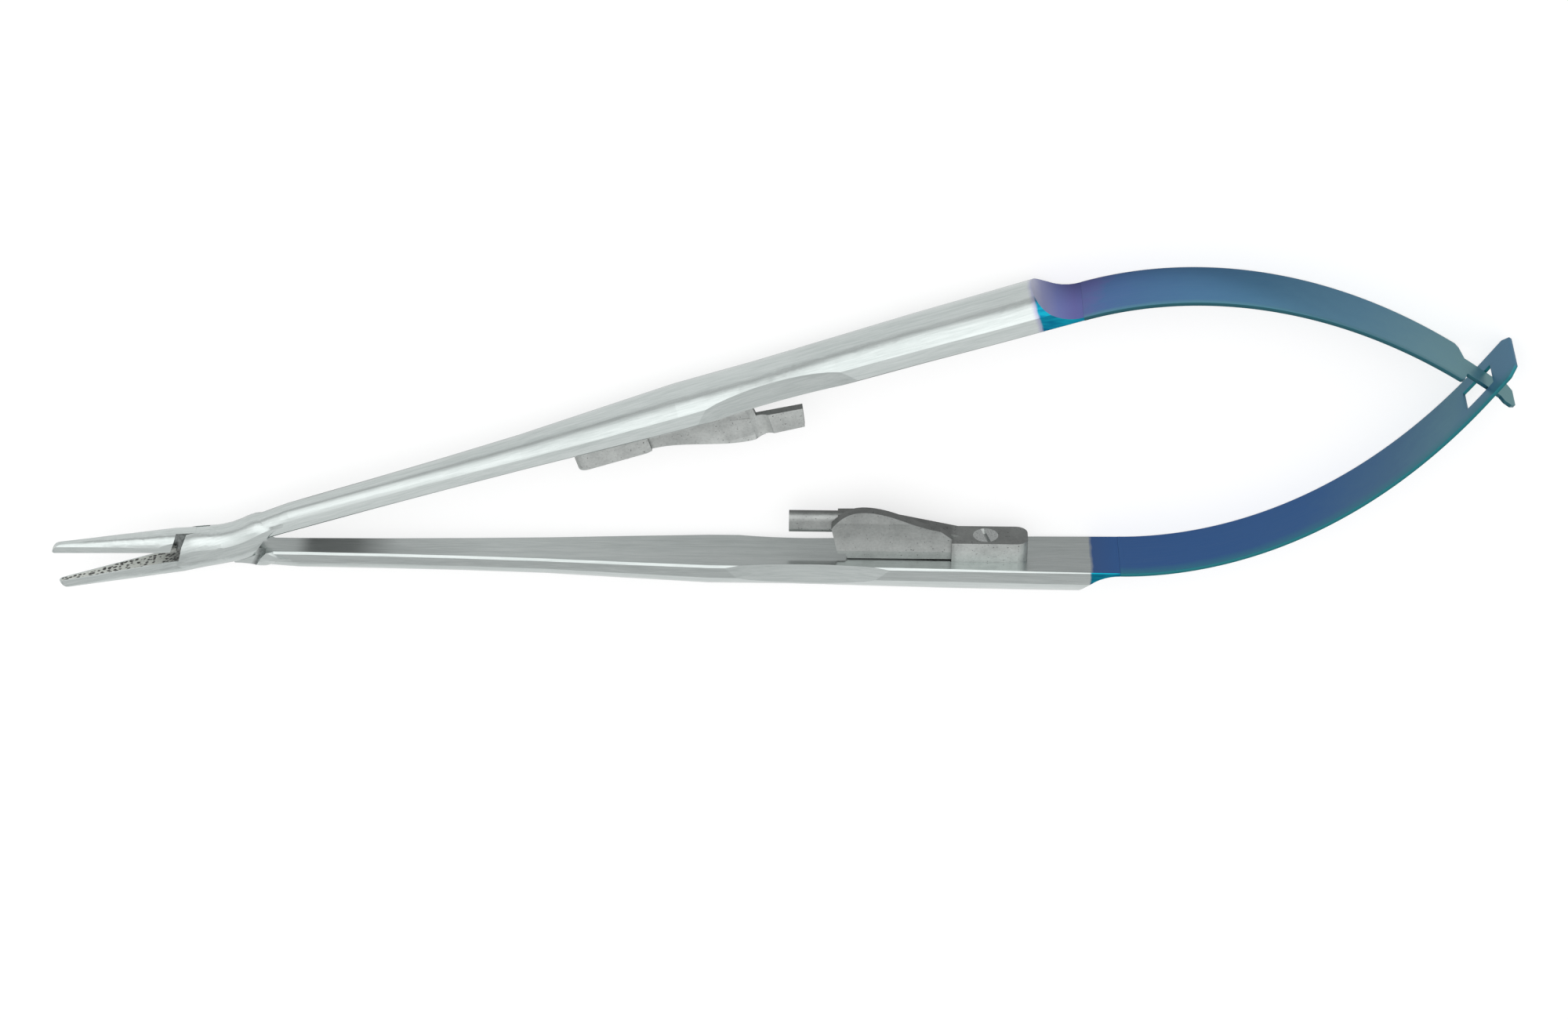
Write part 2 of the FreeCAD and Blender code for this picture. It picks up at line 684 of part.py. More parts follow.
upper_side = {
    "female_half": female,
    "lower_jaw_insert": make_insert(),
    "upper_catch": along_handle(make_upper_latch()),
    "upper_catch_screw": along_handle(make_screw(upper_screw_x)),
    "pivot_pin": make_pivot_pin(),
}
lower_side = {
    "male_half": male,
    "upper_jaw_insert": make_insert(),
    "lower_catch": along_handle(make_lower_latch()),
    "lower_catch_screw": along_handle(make_screw(lower_screw_x)),
}

placed = {}
for name, shape in upper_side.items():
    placed[name] = turned(shape, open_half_angle)
placed["upper_leaf_spring"] = make_tongue_leaf()
for name, shape in lower_side.items():
    placed[name] = turned(shape, open_half_angle).mirror(zero, axis_y)
placed["lower_leaf_spring"] = make_slotted_leaf().mirror(zero, axis_y)

# The frame's origin lies under the middle of the open tool, on the surface it rests on.
whole = Part.makeCompound(list(placed.values())).optimalBoundingBox(False)
pivot_x = -whole.Center.x
pivot_z = half_widest

os.makedirs("parts", exist_ok=True)
for name, shape in placed.items():
    solid = shape.copy()
    solid.translate(V(pivot_x, 0, pivot_z))
    solid = Part.makeCompound(solid.Solids) if len(solid.Solids) > 1 else solid.Solids[0]
    solid.exportStep("parts/%s.step" % name)
    print(name, len(solid.Solids), round(solid.Volume, 3), solid.isValid())

root = rest_root(leaf_thickness)
cross_x = rest_root(leaf_thickness / 2).x + leaf_reach
print("pivot", round(pivot_x, 4), 0.0, "leaf root", round(pivot_x + root.x, 4), round(root.y, 4))
print("crossing", round(pivot_x + cross_x, 4), "length", round(whole.XLength, 3), "width", round(whole.YLength, 3))
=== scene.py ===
import bpy
import bmesh
import json
import math
from mathutils import Matrix, Vector


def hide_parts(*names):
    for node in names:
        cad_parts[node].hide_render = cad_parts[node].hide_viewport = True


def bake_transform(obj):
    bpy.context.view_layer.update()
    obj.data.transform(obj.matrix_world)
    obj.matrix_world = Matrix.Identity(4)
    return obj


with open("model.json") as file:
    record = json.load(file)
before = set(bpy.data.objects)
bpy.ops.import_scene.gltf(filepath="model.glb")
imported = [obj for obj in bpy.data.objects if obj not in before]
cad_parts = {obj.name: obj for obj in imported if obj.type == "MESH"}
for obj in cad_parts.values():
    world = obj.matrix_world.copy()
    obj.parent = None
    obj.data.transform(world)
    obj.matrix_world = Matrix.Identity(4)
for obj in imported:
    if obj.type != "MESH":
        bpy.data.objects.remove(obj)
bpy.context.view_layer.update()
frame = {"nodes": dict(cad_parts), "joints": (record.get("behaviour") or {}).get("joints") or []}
mm = 0.001
jaws = frame["joints"][0]
pivot = Vector(jaws["pos_m"])
print("frame loaded, pivot at", [round(v, 5) for v in pivot])

# Camera: looks down from the +Y side with the jaws on the left.
view = {"aim": (69.1, -5.4, 0.0), "turn": 8.6, "tilt": 32.0, "distance": 673.0, "lens": 126.0}


def cameraAxes():
    turn, tilt = math.radians(view["turn"]), math.radians(view["tilt"])
    right = Vector((math.cos(turn), -math.sin(turn), 0))
    ahead = Vector((math.sin(turn), math.cos(turn), 0))
    back = ahead * math.sin(tilt) + Vector((0, 0, math.cos(tilt)))
    return right, back.cross(right), back


def makeCamera():
    right, up, back = cameraAxes()
    data = bpy.data.cameras.new("photoCamera")
    data.lens = view["lens"]
    data.sensor_width = 36
    data.clip_start, data.clip_end = 0.01, 20
    camera = bpy.data.objects.new("photoCamera", data)
    bpy.context.scene.collection.objects.link(camera)
    place = pivot + Vector(view["aim"]) * mm + back * view["distance"] * mm
    camera.matrix_world = Matrix.Translation(place) @ Matrix((right, up, back)).transposed().to_4x4()
    bpy.context.scene.camera = camera


makeCamera()
print("camera placed")


def addNode(tree, kind, **values):
    node = tree.nodes.new(kind)
    for key, value in values.items():
        setattr(node, key, value)
    return node


def wire(tree, source, target):
    tree.links.new(source, target)


def newMaterial(name):
    material = bpy.data.materials.new(name)
    material.use_nodes = True
    tree = material.node_tree
    tree.nodes.clear()
    shader = addNode(tree, "ShaderNodeBsdfPrincipled")
    output = addNode(tree, "ShaderNodeOutputMaterial")
    wire(tree, shader.outputs["BSDF"], output.inputs["Surface"])
    return material, tree, shader


# Object coordinates in millimetres, turned about Z, then stretched.
def objectPoint(tree, scale=(1, 1, 1), turn=0.0):
    coords = addNode(tree, "ShaderNodeTexCoord")
    turned = addNode(tree, "ShaderNodeVectorRotate", rotation_type="Z_AXIS")
    turned.inputs["Angle"].default_value = turn
    mapping = addNode(tree, "ShaderNodeMapping")
    mapping.inputs["Scale"].default_value = [s / mm for s in scale]
    wire(tree, coords.outputs["Object"], turned.inputs["Vector"])
    wire(tree, turned.outputs[0], mapping.inputs["Vector"])
    return mapping.outputs["Vector"]


def noise(tree, vector, scale, detail=3.0, roughness=0.55):
    node = addNode(tree, "ShaderNodeTexNoise")
    node.inputs["Scale"].default_value = scale
    node.inputs["Detail"].default_value = detail
    node.inputs["Roughness"].default_value = roughness
    wire(tree, vector, node.inputs["Vector"])
    return node.outputs["Fac"]


def ramp(tree, factor, stops):
    node = addNode(tree, "ShaderNodeValToRGB")
    elements = node.color_ramp.elements
    while len(elements) < len(stops):
        elements.new(0.5)
    for element, (place, colour) in zip(elements, stops):
        element.position = place
        element.color = tuple(colour) + (1,) if len(colour) == 3 else colour
    wire(tree, factor, node.inputs["Fac"])
    return node.outputs["Color"]


def span(tree, value, low, high, toLow=0.0, toHigh=1.0):
    node = addNode(tree, "ShaderNodeMapRange")
    node.inputs["From Min"].default_value = low
    node.inputs["From Max"].default_value = high
    node.inputs["To Min"].default_value = toLow
    node.inputs["To Max"].default_value = toHigh
    wire(tree, value, node.inputs["Value"])
    return node.outputs["Result"]


def blendColour(tree, factor, first, second, kind="MIX"):
    node = addNode(tree, "ShaderNodeMix", data_type="RGBA", blend_type=kind)
    for value, socket in ((factor, 0), (first, 6), (second, 7)):
        if isinstance(value, (int, float)):
            node.inputs[socket].default_value = value
        elif isinstance(value, (tuple, list)):
            node.inputs[socket].default_value = tuple(value) + (1,)
        else:
            wire(tree, value, node.inputs[socket])
    return node.outputs[2]


def splitPoint(tree, vector):
    node = addNode(tree, "ShaderNodeSeparateXYZ")
    wire(tree, vector, node.inputs[0])
    return node.outputs


def facingUp(tree):
    facing = addNode(tree, "ShaderNodeNewGeometry")
    return splitPoint(tree, facing.outputs["Normal"])["Z"]


# Distance along X from the pivot, in millimetres.
def alongX(tree):
    return combine(tree, "SUBTRACT", splitPoint(tree, objectPoint(tree))["X"], pivot.x / mm)


def dimmed(tree, colour, share):
    return blendColour(tree, 1.0, colour, (share,) * 3, "MULTIPLY")


def combine(tree, kind, first, second):
    node = addNode(tree, "ShaderNodeMath", operation=kind)
    for value, socket in ((first, 0), (second, 1)):
        if isinstance(value, (int, float)):
            node.inputs[socket].default_value = value
        else:
            wire(tree, value, node.inputs[socket])
    return node.outputs[0]


def bumps(tree, shader, height, strength, distance):
    node = addNode(tree, "ShaderNodeBump")
    node.inputs["Strength"].default_value = strength
    node.inputs["Distance"].default_value = distance * mm
    wire(tree, height, node.inputs["Height"])
    wire(tree, node.outputs["Normal"], shader.inputs["Normal"])


# Satin steel of the two halves: long brush lines, faint blotches, tiny pits, heat colours on
# the thin end that the leaf leaves from, and painted shade on the flat seats of the joint.
steel = {
    "light": (0.62, 0.665, 0.655), "dark": (0.50, 0.545, 0.535), "pit": (0.22, 0.23, 0.23),
    "rough": 0.2, "roughSpread": 0.1, "bump": 0.15, "jointShade": (0.1, 0.11, 0.11),
    "lean": 9.44,
}


def satinSteel(name, side):
    material, tree, shader = newMaterial(name)
    turn = -side * math.radians(steel["lean"])
    along = objectPoint(tree, (0.05, 1.0, 1.0), turn)
    brush = noise(tree, along, 5.0, 6.0, 0.7)
    streak = noise(tree, objectPoint(tree, (0.02, 0.5, 0.5), turn), 1.6, 3.0)
    blotch = noise(tree, objectPoint(tree), 0.22, 4.0, 0.6)
    fine = noise(tree, objectPoint(tree), 9.0, 2.0)
    lines = combine(tree, "ADD", combine(tree, "MULTIPLY", brush, 0.6), combine(tree, "MULTIPLY", streak, 0.4))
    colour = ramp(tree, lines, [(0.36, steel["dark"]), (0.6, steel["light"])])
    pits = span(tree, noise(tree, objectPoint(tree), 2.2, 6.0, 0.7), 0.72, 0.78)
    colour = blendColour(tree, pits, colour, steel["pit"])
    # Painted shade on the flat seats inside the joint.
    colour = blendColour(tree, paintedJointShade(tree), colour, steel["jointShade"])
    colour = heatTint(tree, colour, side)
    wire(tree, colour, shader.inputs["Base Color"])
    spread = combine(tree, "MULTIPLY", blotch, steel["roughSpread"])
    wire(tree, combine(tree, "ADD", spread, steel["rough"]), shader.inputs["Roughness"])
    height = combine(tree, "ADD", lines, combine(tree, "MULTIPLY", fine, 0.15))
    bumps(tree, shader, height, steel["bump"], 0.012)
    shader.inputs["Metallic"].default_value = 1.0
    return material


# Place from the pivot in metres, turned by an angle about Z.
def pivotPoint(tree, turn=0.0):
    coords = addNode(tree, "ShaderNodeTexCoord")
    shift = addNode(tree, "ShaderNodeVectorMath", operation="SUBTRACT")
    shift.inputs[1].default_value = pivot
    wire(tree, coords.outputs["Object"], shift.inputs[0])
    turned = addNode(tree, "ShaderNodeVectorRotate", rotation_type="Z_AXIS")
    turned.inputs["Angle"].default_value = turn
    wire(tree, shift.outputs[0], turned.inputs["Vector"])
    return turned.outputs[0]


# Painted shade: a dark ring on the flat seats of the joint, deeper in than the cheeks, broken up by noise.
# Metres.
jointShade = {"inner": (0.0042, 0.0047), "outer": (0.0068, 0.0062), "depth": (0.0012, 0.0008), "patchiness": 0.45}


def paintedJointShade(tree):
    place = pivotPoint(tree)
    reach = addNode(tree, "ShaderNodeVectorMath", operation="LENGTH")
    wire(tree, place, reach.inputs[0])
    distance = reach.outputs["Value"]
    ring = combine(tree, "MULTIPLY", span(tree, distance, *jointShade["outer"]), span(tree, distance, *jointShade["inner"]))
    height = combine(tree, "ABSOLUTE", splitPoint(tree, place)["Z"], 0.0)
    deep = span(tree, height, *jointShade["depth"])
    flat = span(tree, combine(tree, "ABSOLUTE", facingUp(tree), 0.0), 0.6, 0.9)
    # Noise makes the painted shade patchy; it falls on flat faces only.
    shadeBreakup = span(tree, noise(tree, objectPoint(tree), 1.6, 5.0, 0.7), 0.3, 0.75, 1.0, jointShade["patchiness"])
    flatShade = combine(tree, "MULTIPLY", flat, shadeBreakup)
    return combine(tree, "MULTIPLY", combine(tree, "MULTIPLY", ring, deep), flatShade)


# Lilac, blue and purple in turn, by distance along the arm from the pivot, with a hard edge to
# cyan on the side that faces up.
heat = {
    1: {"start": 104.6, "end": 110.6, "edge": 105.2, "stops": [
        (0.0, (0.5, 0.52, 0.6)), (0.25, (0.22, 0.24, 0.44)), (0.5, (0.14, 0.17, 0.42)),
        (0.8, (0.12, 0.125, 0.36)), (1.0, (0.1, 0.12, 0.35)),
    ]},
    -1: {"start": 106.7, "end": 110.6, "edge": 106.7, "stops": [
        (0.0, (0.6, 0.63, 0.64)), (0.04, (0.07, 0.16, 0.4)), (1.0, (0.055, 0.175, 0.47)),
    ]},
    "fade": 0.5, "wobble": 0.4, "cyan": (0.008, 0.3, 0.42), "cyanDark": (0.005, 0.13, 0.26),
}


def heatTint(tree, colour, side):
    place = pivotPoint(tree, -side * math.radians(steel["lean"]))
    along = combine(tree, "MULTIPLY", splitPoint(tree, place)["X"], 1 / mm)
    wobble = combine(tree, "SUBTRACT", noise(tree, objectPoint(tree), 0.9, 3.0), 0.5)
    along = combine(tree, "ADD", along, combine(tree, "MULTIPLY", wobble, heat["wobble"]))
    local = heat[side]
    tint = ramp(tree, span(tree, along, local["start"], local["end"]), local["stops"])
    share = span(tree, along, local["start"], local["start"] + heat["fade"])
    colour = blendColour(tree, share, colour, tint)
    streak = noise(tree, objectPoint(tree, (0.3, 2.0, 2.0)), 1.0, 2.0)
    cyan = ramp(tree, streak, [(0.35, heat["cyanDark"]), (0.6, heat["cyan"])])
    onSide = combine(tree, "MULTIPLY", span(tree, facingUp(tree), 0.45, 0.6),
                     span(tree, along, local["edge"], local["edge"] + heat["fade"] / 2))
    return blendColour(tree, onSide, colour, cyan)


# Hard plates: light grain with dark specks and holes, darker towards the throat.
plate = {
    "light": (0.6, 0.63, 0.59), "grey": (0.42, 0.44, 0.41), "speck": (0.03, 0.032, 0.03),
    "cellsPerMm": 2.2, "throatStart": -8.0, "throatEnd": -5.5, "throatDark": 0.6,
}


def carbideGrain():
    material, tree, shader = newMaterial("carbide")
    cells = addNode(tree, "ShaderNodeTexVoronoi")
    cells.inputs["Scale"].default_value = plate["cellsPerMm"]
    wire(tree, objectPoint(tree, (0.75, 1, 1)), cells.inputs["Vector"])
    grain = noise(tree, objectPoint(tree), 3.4, 5.0, 0.75)
    tone = ramp(tree, grain, [(0.36, plate["grey"]), (0.52, plate["light"])])
    ragged = combine(tree, "ADD", cells.outputs["Distance"], combine(tree, "MULTIPLY", grain, 0.5))
    speck = span(tree, ragged, 0.71, 0.61)
    tone = blendColour(tree, speck, tone, plate["speck"])
    throat = span(tree, alongX(tree), plate["throatStart"], plate["throatEnd"], 0.0, plate["throatDark"])
    wire(tree, blendColour(tree, throat, tone, plate["speck"]), shader.inputs["Base Color"])
    shader.inputs["Metallic"].default_value = 0.25
    shader.inputs["Roughness"].default_value = 0.5
    deep = combine(tree, "ADD", combine(tree, "MULTIPLY", speck, -1.0), grain)
    bumps(tree, shader, deep, 0.7, 0.05)
    return material


# Latches: matte cast and filed metal with pits and filing marks. Painted shade makes the walls
# and the lower wing darker than the flat tops.
cast = {
    "light": (0.58, 0.605, 0.59), "dark": (0.42, 0.44, 0.43), "pit": (0.1, 0.1, 0.1), "wallShade": 0.55,
    "wing": {1: 1.0, -1: 0.74}, "wingEnd": 89.3,
}


def castSteel(side):
    material, tree, shader = newMaterial("latchUpper" if side > 0 else "latchLower")
    grain = noise(tree, objectPoint(tree), 3.2, 6.0, 0.7)
    files = noise(tree, objectPoint(tree, (0.15, 1.2, 1.2), 0.15), 5.0, 4.0, 0.6)
    patch = noise(tree, objectPoint(tree), 0.5, 3.0)
    tone = combine(tree, "ADD", combine(tree, "MULTIPLY", grain, 0.5), combine(tree, "MULTIPLY", patch, 0.5))
    colour = ramp(tree, tone, [(0.36, cast["dark"]), (0.62, cast["light"])])
    pits = span(tree, noise(tree, objectPoint(tree), 4.5, 3.0, 0.5), 0.66, 0.72)
    colour = blendColour(tree, pits, colour, cast["pit"])
    # Painted shade on the walls that do not face up.
    aside = span(tree, facingUp(tree), 0.5, 0.15)
    colour = blendColour(tree, aside, colour, dimmed(tree, colour, cast["wallShade"]))
    # Painted shade on the lower latch's wing.
    wingShadeMask = span(tree, alongX(tree), cast["wingEnd"], cast["wingEnd"] - 0.4)
    colour = blendColour(tree, wingShadeMask, colour, dimmed(tree, colour, cast["wing"][side]))
    wire(tree, colour, shader.inputs["Base Color"])
    shader.inputs["Metallic"].default_value = 0.9
    wire(tree, span(tree, grain, 0.3, 0.7, 0.34, 0.5), shader.inputs["Roughness"])
    height = combine(tree, "ADD", files, combine(tree, "MULTIPLY", pits, -1.0))
    bumps(tree, shader, height, 0.6, 0.03)
    return material


# Screws: bright turned heads with a fine uneven grain.
def screwSteel():
    material, tree, shader = newMaterial("screwSteel")
    grain = noise(tree, objectPoint(tree), 6.0, 5.0, 0.7)
    wire(tree, ramp(tree, grain, [(0.35, (0.42, 0.44, 0.435)), (0.62, (0.72, 0.75, 0.74))]),
         shader.inputs["Base Color"])
    shader.inputs["Metallic"].default_value = 1.0
    wire(tree, span(tree, grain, 0.3, 0.7, 0.25, 0.45), shader.inputs["Roughness"])
    bumps(tree, shader, grain, 0.5, 0.02)
    return material


def dress(node, material):
    for place in frame["nodes"][node].material_slots:
        place.material = material


upperSteel = satinSteel("satinUpper", 1)
lowerSteel = satinSteel("satinLower", -1)
dress("female_half", upperSteel)
dress("male_half", lowerSteel)
dress("pivot_pin", upperSteel)
carbide = carbideGrain()
dress("upper_jaw_insert", carbide)
dress("lower_jaw_insert", carbide)
dress("upper_catch", castSteel(1))
dress("lower_catch", castSteel(-1))
screw = screwSteel()
dress("upper_catch_screw", screw)
dress("lower_catch_screw", screw)
print("metals made")


# Leaf springs: the CAD strips again as curved meshes, with places along and across the strip
# kept as attributes for the heat colours.
leaf = {
    "thick": 0.45, "half": 4.3, "arm": 110.4, "lean": 9.44, "reach": 46.9, "endAngle": 45.5,
    "rootPull": 9.4, "tipPull": 27.2, "rows": 72, "endRows": 12, "cells": 12, "edge": 0.07,
}
tongueEnd = {
    "neck": 1.8, "shoulder": 3.35, "slant": 0.65, "corner": 0.5,
    "length": 4.2, "head": 2.45, "headLength": 1.7, "headCorner": 0.75,
}
slottedEnd = {"length": 5.1, "along": 1.3, "across": 1.0, "slotHalf": 2.0, "front": 3.75, "back": 1.2}


def leafLine():
    lean, end = math.radians(leaf["lean"]), math.radians(leaf["endAngle"])
    out = leaf["thick"] / 2
    start = Vector((leaf["arm"] * math.cos(lean) - out * math.sin(lean),
                    leaf["arm"] * math.sin(lean) + out * math.cos(lean)))
    cross = Vector((start.x + leaf["reach"], 0))
    leave = Vector((math.cos(lean), math.sin(lean)))
    arrive = Vector((math.cos(end), -math.sin(end)))
    return start, start + leave * leaf["rootPull"], cross - arrive * leaf["tipPull"], cross, arrive


def leafPoint(t):
    a, b, c, d, arrive = leafLine()
    k = 1 - t
    place = a * k ** 3 + b * 3 * k * k * t + c * 3 * k * t * t + d * t ** 3
    ahead = (b - a) * 3 * k * k + (c - b) * 6 * k * t + (d - c) * 3 * t * t
    return place, ahead.normalized()


# Distances along the strip from the crossing, with the half width of the metal and of the hole.
def tongueWidth(s):
    e = tongueEnd
    if s < -e["shoulder"] - e["slant"]:
        cut = max(0.0, s + e["shoulder"] + e["slant"] + e["corner"])
        return leaf["half"] - cut
    if s < -e["shoulder"]:
        share = (s + e["shoulder"] + e["slant"]) / e["slant"]
        top = leaf["half"] - e["corner"]
        return top + (e["neck"] - top) * share
    headStart = e["length"] - e["headLength"]
    if s < headStart:
        return e["neck"] + max(0.0, s - headStart + e["head"] - e["neck"])
    return e["head"] - max(0.0, s - e["length"] + e["headCorner"])


def slottedWidth(s):
    e = slottedEnd
    over = max(0.0, s - e["length"] + e["along"])
    return leaf["half"] - over * e["across"] / e["along"]


# Length travelled along the strip for each of many steps of the curve.
def leafTable(steps=200):
    table = [(0.0, 0.0)]
    for i in range(1, steps + 1):
        step = (leafPoint(i / steps)[0] - leafPoint((i - 1) / steps)[0]).length
        table.append((table[-1][0] + step, i / steps))
    return table


# Cross rows of the mesh: evenly spaced, but always one where the outline has a corner.
def stationList(total, length, marks):
    stops = [-total + total * i / leaf["rows"] for i in range(leaf["rows"] + 1)]
    stops += [length * (i + 1) / leaf["endRows"] for i in range(leaf["endRows"])]
    stops = [s for s in stops if all(abs(s - m) > 0.12 for m in marks)] + list(marks)
    return sorted(stops)


def stripPoint(s, table):
    cross, arrive = leafPoint(1.0)
    if s > 0:
        return cross + arrive * s
    want = s + table[-1][0]
    for (d0, t0), (d1, t1) in zip(table, table[1:]):
        if want <= d1 or t1 == 1.0:
            t = t0 + (t1 - t0) * (want - d0) / (d1 - d0)
            return leafPoint(min(1.0, max(0.0, t)))[0]


def makeLeaf(name, node, side, length, marks, widthAt, hole):
    table = leafTable()
    total = table[-1][0]
    stops = stationList(total, length, marks)
    mesh = bmesh.new()
    along = mesh.verts.layers.float.new("along")
    across = mesh.verts.layers.float.new("across")
    rows = []
    cells = leaf["cells"]
    inner = hole[2] if hole else 0.55 * tongueEnd["neck"]
    for s in stops:
        place = stripPoint(s, table)
        width = widthAt(s)
        reach = min(inner, 0.8 * width)
        offsets = [-width + (width - reach) * i / cells for i in range(cells)]
        offsets += [-reach + 2 * reach * i / cells for i in range(cells)]
        offsets += [reach + (width - reach) * i / cells for i in range(cells + 1)]
        row = []
        for z in offsets:
            vert = mesh.verts.new((place.x, side * place.y, z))
            vert[along] = (s + total) / total
            vert[across] = z / leaf["half"]
            row.append(vert)
        rows.append((s, row))
    for (s0, first), (s1, second) in zip(rows, rows[1:]):
        middle = (s0 + s1) / 2
        for i in range(3 * cells):
            inHole = hole and hole[0] < middle < hole[1] and cells <= i < 2 * cells
            if not inHole:
                face = mesh.faces.new((first[i], first[i + 1], second[i + 1], second[i]))
                face.smooth = True
    for vert in mesh.verts:
        vert.co = pivot + vert.co * mm
    if side > 0:
        bmesh.ops.reverse_faces(mesh, faces=mesh.faces)
    data = bpy.data.meshes.new(name)
    mesh.to_mesh(data)
    mesh.free()
    piece = bpy.data.objects.new(name, data)
    bpy.context.scene.collection.objects.link(piece)
    thicken(piece)
    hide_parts(node)
    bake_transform(piece)
    return piece


# Gives the strip its thickness and a small round on every edge, as plain mesh.
def thicken(piece):
    solid = piece.modifiers.new("thickness", "SOLIDIFY")
    solid.thickness = leaf["thick"] * mm
    solid.offset = 0
    rounding = piece.modifiers.new("edgeRound", "BEVEL")
    rounding.width = leaf["edge"] * mm
    rounding.segments = 2
    rounding.limit_method = "ANGLE"
    graph = bpy.context.evaluated_depsgraph_get()
    final = bpy.data.meshes.new_from_object(piece.evaluated_get(graph))
    piece.modifiers.clear()
    piece.data = final
    for polygon in final.polygons:
        polygon.use_smooth = True
    final.set_sharp_from_angle(angle=math.radians(40))


# Heat colours of a leaf: stops along the strip, teal at the near edge, cloudy in between.
upperHeat = {
    "stops": [
        (0.0, (0.1, 0.12, 0.35)), (0.025, (0.09, 0.13, 0.35)), (0.06, (0.055, 0.145, 0.35)),
        (0.15, (0.048, 0.155, 0.33)), (0.4, (0.06, 0.205, 0.36)), (0.65, (0.115, 0.31, 0.46)),
        (0.85, (0.18, 0.4, 0.48)), (1.0, (0.2, 0.44, 0.47)),
    ],
    "nearEdge": (0.09, 0.27, 0.33), "nearStart": 0.8, "thinEdge": (0.03, 0.12, 0.15),
}
lowerHeat = {
    "stops": [
        (0.0, (0.045, 0.15, 0.41)), (0.15, (0.045, 0.155, 0.42)), (0.45, (0.048, 0.165, 0.42)),
        (0.7, (0.09, 0.23, 0.4)), (0.88, (0.14, 0.33, 0.44)), (1.0, (0.12, 0.3, 0.46)),
    ],
    "nearEdge": (0.05, 0.3, 0.37), "nearStart": 0.62, "thinEdge": (0.025, 0.2, 0.23),
}


def heatedLeaf(name, tones):
    material, tree, shader = newMaterial(name)
    along = addNode(tree, "ShaderNodeAttribute", attribute_name="along")
    across = addNode(tree, "ShaderNodeAttribute", attribute_name="across")
    cloud = noise(tree, stripCoords(tree, along, across, (22.0, 2.4)), 1.0, 4.0, 0.6)
    brush = noise(tree, stripCoords(tree, along, across, (6.0, 60.0)), 1.0, 4.0, 0.6)
    drift = combine(tree, "MULTIPLY", combine(tree, "SUBTRACT", cloud, 0.5), 0.12)
    place = combine(tree, "ADD", along.outputs["Fac"], drift)
    slant = combine(tree, "MULTIPLY", across.outputs["Fac"], 0.03)
    colour = ramp(tree, combine(tree, "ADD", place, slant), tones["stops"])
    edge = span(tree, combine(tree, "ADD", across.outputs["Fac"], drift), tones["nearStart"], 1.0)
    colour = blendColour(tree, combine(tree, "MULTIPLY", edge, 0.8), colour, tones["nearEdge"])
    colour = blendColour(tree, span(tree, brush, 0.45, 0.8, 0.0, 0.12), colour, (0.3, 0.42, 0.5))
    colour = blendColour(tree, span(tree, facingUp(tree), 0.5, 0.8), colour, tones["thinEdge"])
    wire(tree, colour, shader.inputs["Base Color"])
    shader.inputs["Metallic"].default_value = 0.85
    wire(tree, span(tree, brush, 0.3, 0.7, 0.3, 0.42), shader.inputs["Roughness"])
    bumps(tree, shader, brush, 0.3, 0.01)
    return material


def stripCoords(tree, along, across, scale):
    node = addNode(tree, "ShaderNodeCombineXYZ")
    wire(tree, combine(tree, "MULTIPLY", along.outputs["Fac"], scale[0]), node.inputs["X"])
    wire(tree, combine(tree, "MULTIPLY", across.outputs["Fac"], scale[1]), node.inputs["Y"])
    return node.outputs[0]


def makeLeaves():
    t, e = tongueEnd, slottedEnd
    headStart = t["length"] - t["headLength"]
    tongueMarks = [-t["shoulder"] - t["slant"] - t["corner"], -t["shoulder"] - t["slant"], -t["shoulder"],
                   headStart - t["head"] + t["neck"], headStart, t["length"] - t["headCorner"], t["length"]]
    upper = makeLeaf("upperLeaf", "upper_leaf_spring", 1, t["length"], tongueMarks, tongueWidth, None)
    upper.data.materials.append(heatedLeaf("upperHeat", upperHeat))
    slotMarks = [-e["front"], e["back"], e["length"] - e["along"], e["length"]]
    lower = makeLeaf("lowerLeaf", "lower_leaf_spring", -1, e["length"], slotMarks, slottedWidth,
                     (-e["front"], e["back"], e["slotHalf"]))
    lower.data.materials.append(heatedLeaf("lowerHeat", lowerHeat))


makeLeaves()
print("leaves made")


# Studio: a light tent around the X axis. Angles run from straight up towards the +Y side.
studio = {
    "floorSeen": 0.5, "floorMirrored": 0.85, "floorGlow": 1.31, "floorHalf": 3.0, "floorDrop": 0.0002,
    "key": 2.8, "keySize": 1.5, "keyPlace": (0.1, 0.95, 1.05),
}
tent = [
    (-180, 0.8), (-100, 0.95), (-80, 0.95), (-60, 0.62), (-45, 0.6), (-30, 0.77), (-15, 0.92),
    (10, 1.1), (25, 1.17), (57, 1.17), (68, 0.9), (78, 0.54), (100, 0.56), (180, 0.8),
]


# What the metal sees of the floor: shaded between the arms, dark by the joint, bright outside.
# The shades go by distance from the pivot, as a share of the reach.
underArms = {
    "reach": 120, "outside": 0.94, "armLength": 110, "armGap": (2.5, 20.5), "soft": 1.5,
    "shades": [
        (0.0, 0.9), (0.04, 0.55), (0.075, 0.5), (0.09, 0.08), (0.135, 0.12),
        (0.18, 0.55), (0.28, 0.68), (0.5, 0.55), (0.7, 0.42), (1.0, 0.42),
    ],
}


def mirroredFloor(tree):
    away = alongX(tree)
    aside = combine(tree, "ABSOLUTE", splitPoint(tree, objectPoint(tree))["Y"], 0.0)
    widening = span(tree, away, 0.0, underArms["armLength"], *underArms["armGap"])
    soft = underArms["soft"]
    inside = span(tree, combine(tree, "SUBTRACT", aside, widening), -soft, soft, 1.0, 0.0)
    stops = [(place, (value,) * 3) for place, value in underArms["shades"]]
    shade = ramp(tree, span(tree, away, 0.0, underArms["reach"]), stops)
    return blendColour(tree, inside, (underArms["outside"],) * 3, shade)


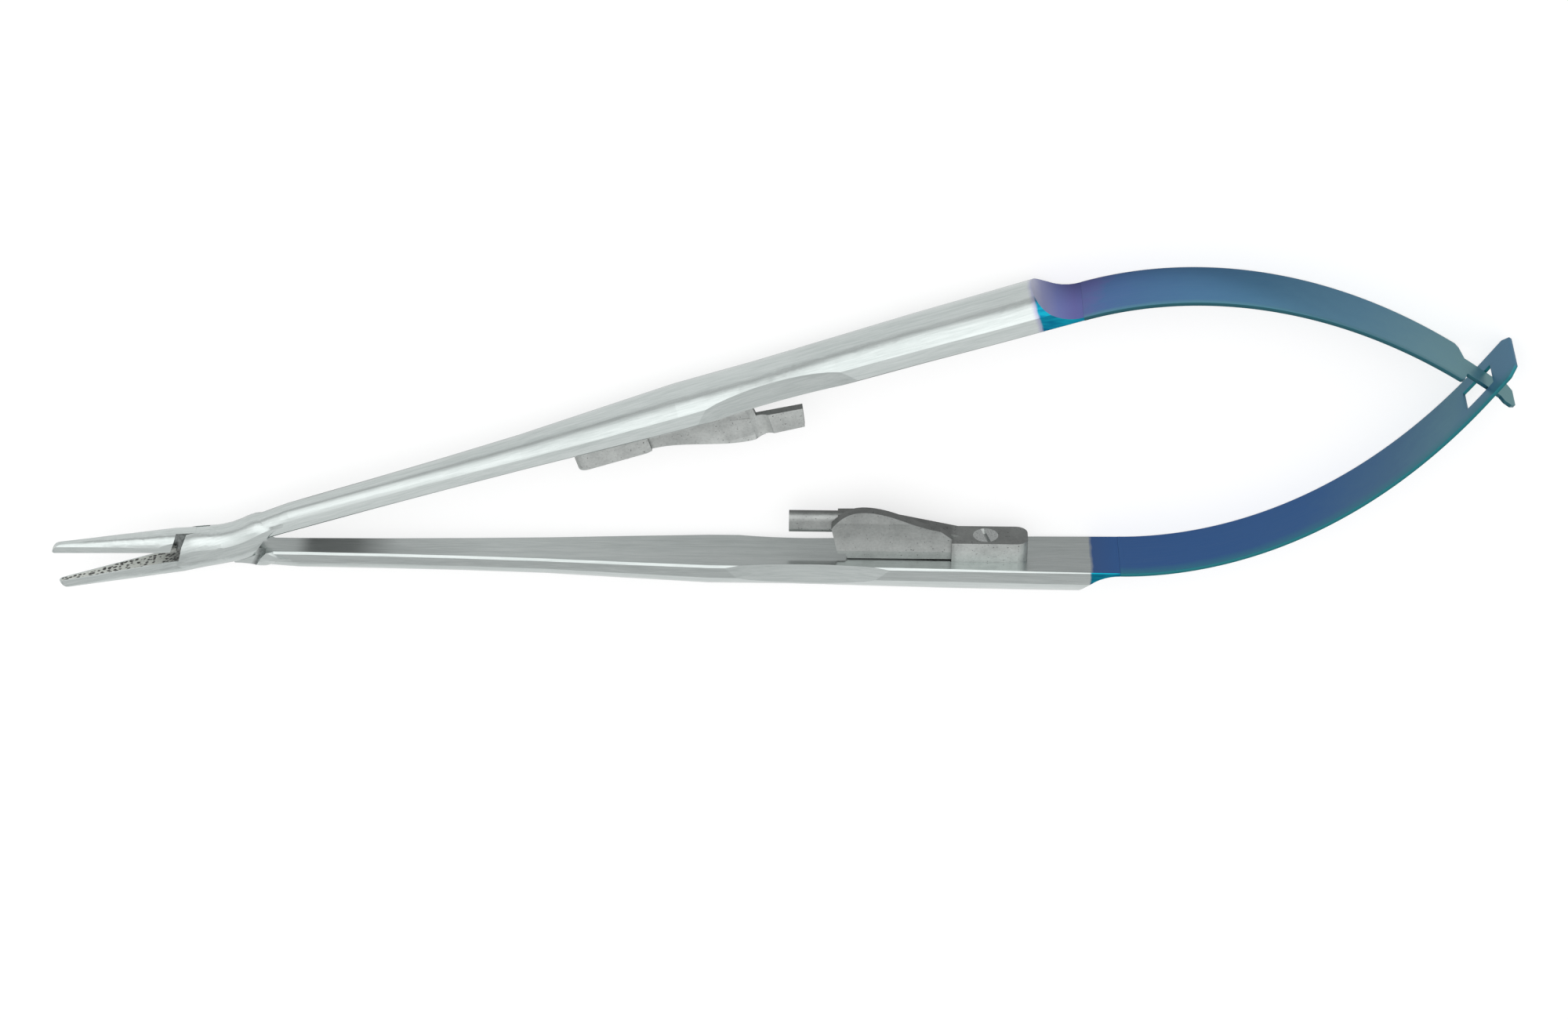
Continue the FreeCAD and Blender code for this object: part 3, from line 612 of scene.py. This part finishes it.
def makeFloor():
    mesh = bpy.data.meshes.new("floor")
    half = studio["floorHalf"]
    corners = [(-half, -half, 0), (half, -half, 0), (half, half, 0), (-half, half, 0)]
    mesh.from_pydata(corners, [], [(0, 1, 2, 3)])
    floor = bpy.data.objects.new("floor", mesh)
    floor.location.z = -studio["floorDrop"]
    bpy.context.scene.collection.objects.link(floor)
    material, tree, shader = newMaterial("paleFloor")
    shader.inputs["Base Color"].default_value = (0.82, 0.82, 0.82, 1)
    shader.inputs["Roughness"].default_value = 0.9
    shader.inputs["Specular IOR Level"].default_value = 0.0
    paths = addNode(tree, "ShaderNodeLightPath")
    seen, mirrored = paths.outputs["Is Camera Ray"], paths.outputs["Is Glossy Ray"]
    glow = addNode(tree, "ShaderNodeEmission")
    glow.inputs["Color"].default_value = (1, 1, 1, 1)
    wire(tree, combine(tree, "ADD", combine(tree, "MULTIPLY", seen, studio["floorGlow"]),
                       combine(tree, "MULTIPLY", mirrored, mirroredFloor(tree))), glow.inputs["Strength"])
    share = combine(tree, "ADD", combine(tree, "MULTIPLY", seen, studio["floorSeen"]),
                    combine(tree, "MULTIPLY", mirrored, studio["floorMirrored"]))
    mixed = addNode(tree, "ShaderNodeMixShader")
    wire(tree, share, mixed.inputs["Fac"])
    wire(tree, shader.outputs["BSDF"], mixed.inputs[1])
    wire(tree, glow.outputs["Emission"], mixed.inputs[2])
    output = next(n for n in tree.nodes if n.bl_idname == "ShaderNodeOutputMaterial")
    wire(tree, mixed.outputs["Shader"], output.inputs["Surface"])
    mesh.materials.append(material)


makeFloor()


def makeWorld():
    world = bpy.data.worlds.new("studio")
    bpy.context.scene.world = world
    world.use_nodes = True
    tree = world.node_tree
    background = tree.nodes["Background"]
    coords = addNode(tree, "ShaderNodeTexCoord")
    sky = splitPoint(tree, coords.outputs["Generated"])
    angle = combine(tree, "ARCTAN2", sky["Y"], sky["Z"])
    place = span(tree, angle, -math.pi, math.pi)
    brightest = max(value for _, value in tent)
    stops = [((degrees + 180) / 360, (value / brightest,) * 3) for degrees, value in tent]
    wire(tree, ramp(tree, place, stops), background.inputs["Color"])
    background.inputs["Strength"].default_value = brightest


def makeLamp(name, place, power, size):
    data = bpy.data.lights.new(name, "AREA")
    data.energy = power
    data.size = size
    lamp = bpy.data.objects.new(name, data)
    lamp.location = place
    lamp.rotation_mode = "QUATERNION"
    lamp.rotation_quaternion = Vector(place).to_track_quat("Z", "Y")
    bpy.context.scene.collection.objects.link(lamp)


makeWorld()
makeLamp("keyLamp", studio["keyPlace"], studio["key"], studio["keySize"])
print("studio lit")

bpy.context.scene.view_settings.view_transform = "Standard"
